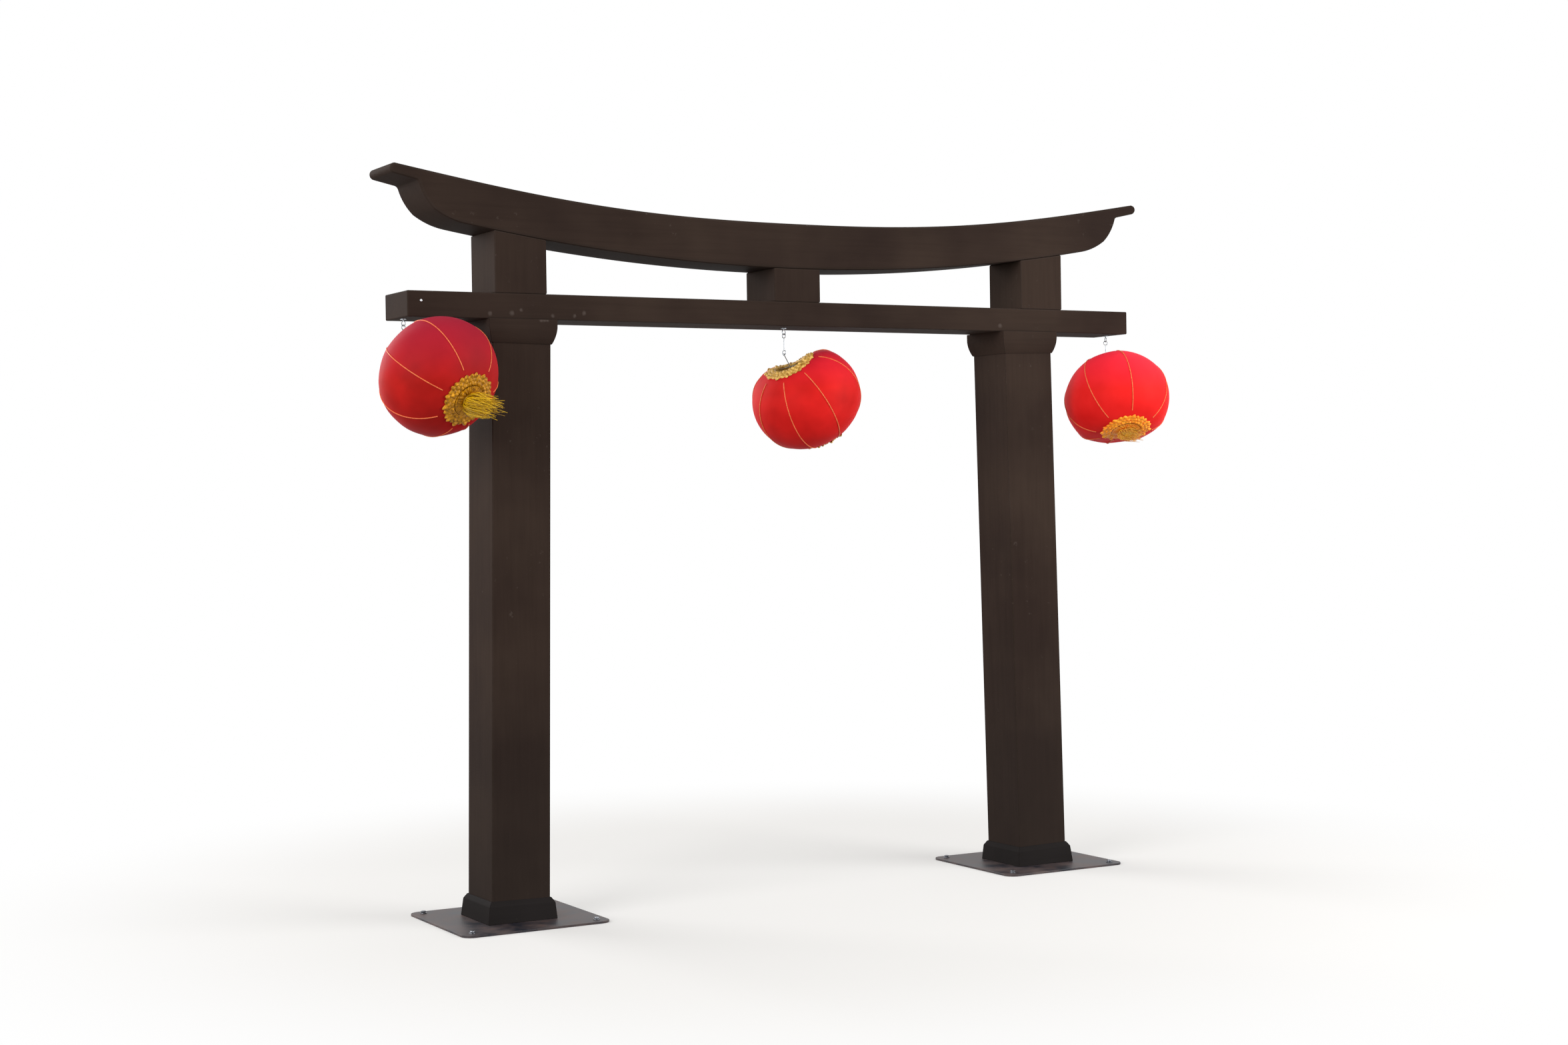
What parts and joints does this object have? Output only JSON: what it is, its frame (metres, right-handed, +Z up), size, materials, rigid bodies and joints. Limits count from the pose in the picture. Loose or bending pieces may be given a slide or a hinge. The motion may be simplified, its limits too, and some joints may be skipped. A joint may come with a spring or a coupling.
{
  "type": "torii gate",
  "caption": "Dark timber torii gate on steel foot plates: leaning posts, tie beam, struts, upswept top beam with beaked ends, and round red cloth lanterns that swing under the tie beam.",
  "frame": {"origin": "on the floor, at the middle of the left foot plate's underside", "axes": "+X along the gate to the right as seen from the front, +Y from the front to the back, +Z up"},
  "size_m": [3.3284, 0.651, 2.6299],
  "materials": {
    "painted_timber": "satin dark brown paint on planed timber",
    "base_paint": "satin black paint on timber mouldings",
    "plate_steel": "dusty dark grey paint on sheet steel",
    "wire_steel": "bright zinc-plated wire",
    "lantern_cloth": "satin red polyester cloth with gilt seams",
    "gilt_trim": "gilt paper trim on a card ring",
    "tassel_thread": "yellow rayon thread"
  },
  "bodies": {
    "gate": {"left_foot_plate": "plate_steel", "right_foot_plate": "plate_steel", "left_post": "painted_timber", "right_post": "painted_timber", "left_base_face_mouldings": "base_paint", "left_base_side_mouldings": "base_paint", "right_base_face_mouldings": "base_paint", "right_base_side_mouldings": "base_paint", "left_capital_face_mouldings": "painted_timber", "left_capital_side_mouldings": "painted_timber", "right_capital_face_mouldings": "painted_timber", "right_capital_side_mouldings": "painted_timber", "nuki": "painted_timber", "left_strut": "painted_timber", "middle_strut": "painted_timber", "right_strut": "painted_timber", "kasagi": "painted_timber", "left_hook": "wire_steel", "middle_hook": "wire_steel", "right_hook": "wire_steel", "left_hanger": "wire_steel", "middle_hanger": "wire_steel", "right_hanger": "wire_steel"},
    "left_lantern": {"left_lantern_shade": "lantern_cloth", "left_lantern_top_collar": "gilt_trim", "left_lantern_bottom_collar": "gilt_trim", "left_lantern_bail": "wire_steel", "left_lantern_tassel_bar": "wire_steel", "left_lantern_tassel": "tassel_thread"},
    "middle_lantern": {"middle_lantern_shade": "lantern_cloth", "middle_lantern_top_collar": "gilt_trim", "middle_lantern_bottom_collar": "gilt_trim", "middle_lantern_bail": "wire_steel", "middle_lantern_tassel_bar": "wire_steel", "middle_lantern_tassel": "tassel_thread"},
    "right_lantern": {"right_lantern_shade": "lantern_cloth", "right_lantern_top_collar": "gilt_trim", "right_lantern_bottom_collar": "gilt_trim", "right_lantern_bail": "wire_steel", "right_lantern_tassel_bar": "wire_steel", "right_lantern_tassel": "tassel_thread"}
  },
  "joints": [
    {"name": "left_lantern_swing", "type": "hinge", "parent": "gate", "child": "left_lantern", "pos_m": [-0.355, 0, 2.008], "axis": [0.9336, 0.3584, 0], "range_deg": [0, 105]},
    {"name": "middle_lantern_swing", "type": "hinge", "parent": "gate", "child": "middle_lantern", "pos_m": [1.15, 0, 2.008], "axis": [-0.342, 0.9397, 0], "range_deg": [-10, 88]},
    {"name": "right_lantern_swing", "type": "hinge", "parent": "gate", "child": "right_lantern", "pos_m": [2.655, 0, 2.008], "axis": [0.9563, -0.2924, 0], "range_deg": [-14, 87]}
  ]
}
